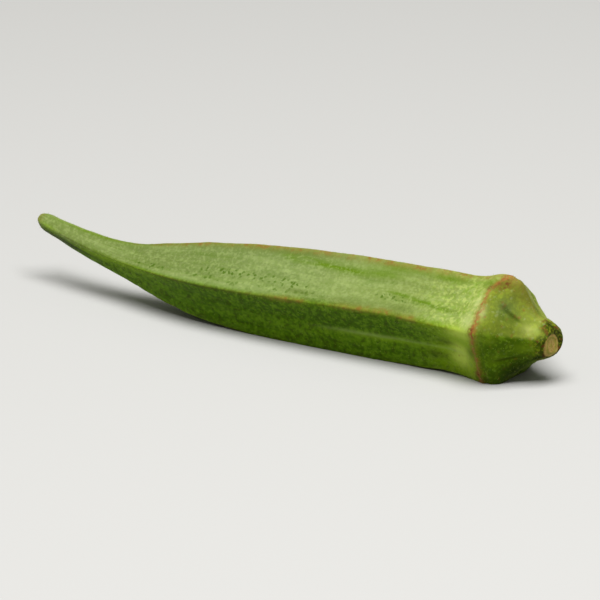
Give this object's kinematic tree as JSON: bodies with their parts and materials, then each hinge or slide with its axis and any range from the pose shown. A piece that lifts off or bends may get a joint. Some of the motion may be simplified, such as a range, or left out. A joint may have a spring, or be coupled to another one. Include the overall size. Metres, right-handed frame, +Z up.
{
  "type": "okra pod",
  "caption": "Slender ridged green seed pod lying on its side, with a domed cap and a short cut stem at one end and a long curved beak at the other.",
  "frame": {"origin": "centre of the pod's bounding box in X and Y, on the surface that the pod lies on", "axes": "+X along the pod from its pointed tip to its cut stem, +Z up, +Y across the pod"},
  "size_m": [0.1324, 0.0236, 0.0217],
  "materials": {
    "pod_skin": "fresh green plant skin, softly downy with a faint satin sheen, paler near the cap",
    "down": "short pale translucent hairs"
  },
  "bodies": {
    "root": {"okra_pod": "pod_skin"}
  },
  "joints": []
}
